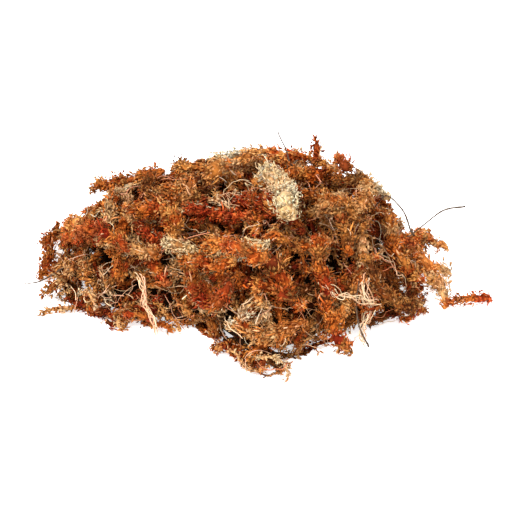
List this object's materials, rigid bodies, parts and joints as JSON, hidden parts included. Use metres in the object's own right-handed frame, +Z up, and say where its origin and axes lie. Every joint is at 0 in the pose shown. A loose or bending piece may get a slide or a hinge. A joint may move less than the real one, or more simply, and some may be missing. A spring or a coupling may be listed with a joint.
{
  "type": "sphagnum moss clump",
  "caption": "Loose low heap of dried, rust-brown sphagnum moss: leafy stems tangled over a matted, flat-based middle.",
  "frame": {"origin": "on the surface that the clump lies on, under the middle of the heap", "axes": "+X along the heap's longest side, +Y towards its back, +Z up"},
  "size_m": [0.2768, 0.2078, 0.0949],
  "materials": {
    "rust": "dry rust-orange sphagnum, small leaves all over",
    "russet": "dry dark red sphagnum, small leaves all over",
    "ochre": "dry ochre sphagnum, small leaves all over",
    "straw": "pale straw-coloured dry sphagnum, small leaves all over",
    "umber": "brown matted sphagnum",
    "twig": "fine dark woody twig"
  },
  "bodies": {
    "root": {"corner_front": "umber", "crown_arch": "ochre", "crown_back": "ochre", "crown_bend": "ochre", "crown_left": "ochre", "crown_point": "russet", "crown_top": "ochre", "front_fall": "ochre", "front_hook": "russet", "front_left": "rust", "left_arc": "rust", "left_edge": "rust", "left_high": "ochre", "left_hook": "rust", "left_lip": "ochre", "left_low": "russet", "left_sprig": "ochre", "left_stub": "umber", "left_tuft": "straw", "long_front": "rust", "middle_front": "rust", "middle_tuft": "straw", "moss_mass": "umber", "ochre_stem_02": "ochre", "ochre_stem_09": "ochre", "ochre_stem_12": "ochre", "ochre_stem_19": "ochre", "ochre_stem_22": "ochre", "red_head": "russet", "red_point": "russet", "right_drop": "ochre", "right_front": "rust", "right_head": "rust", "right_stub": "ochre", "right_top": "ochre", "russet_stem_03": "russet", "russet_stem_08": "russet", "russet_stem_13": "russet", "russet_stem_18": "russet", "russet_stem_23": "russet", "rust_stem_01": "rust", "rust_stem_04": "rust", "rust_stem_06": "rust", "rust_stem_10": "rust", "rust_stem_11": "rust", "rust_stem_14": "rust", "rust_stem_16": "rust", "rust_stem_20": "rust", "rust_stem_21": "rust", "straw_stem_07": "straw", "straw_stem_17": "straw", "straw_tuft": "straw", "twig_crown": "twig", "twig_front": "twig", "twig_left": "twig", "twig_right": "twig", "twig_shoulder": "twig", "umber_stem_05": "umber", "umber_stem_15": "umber"}
  },
  "joints": []
}
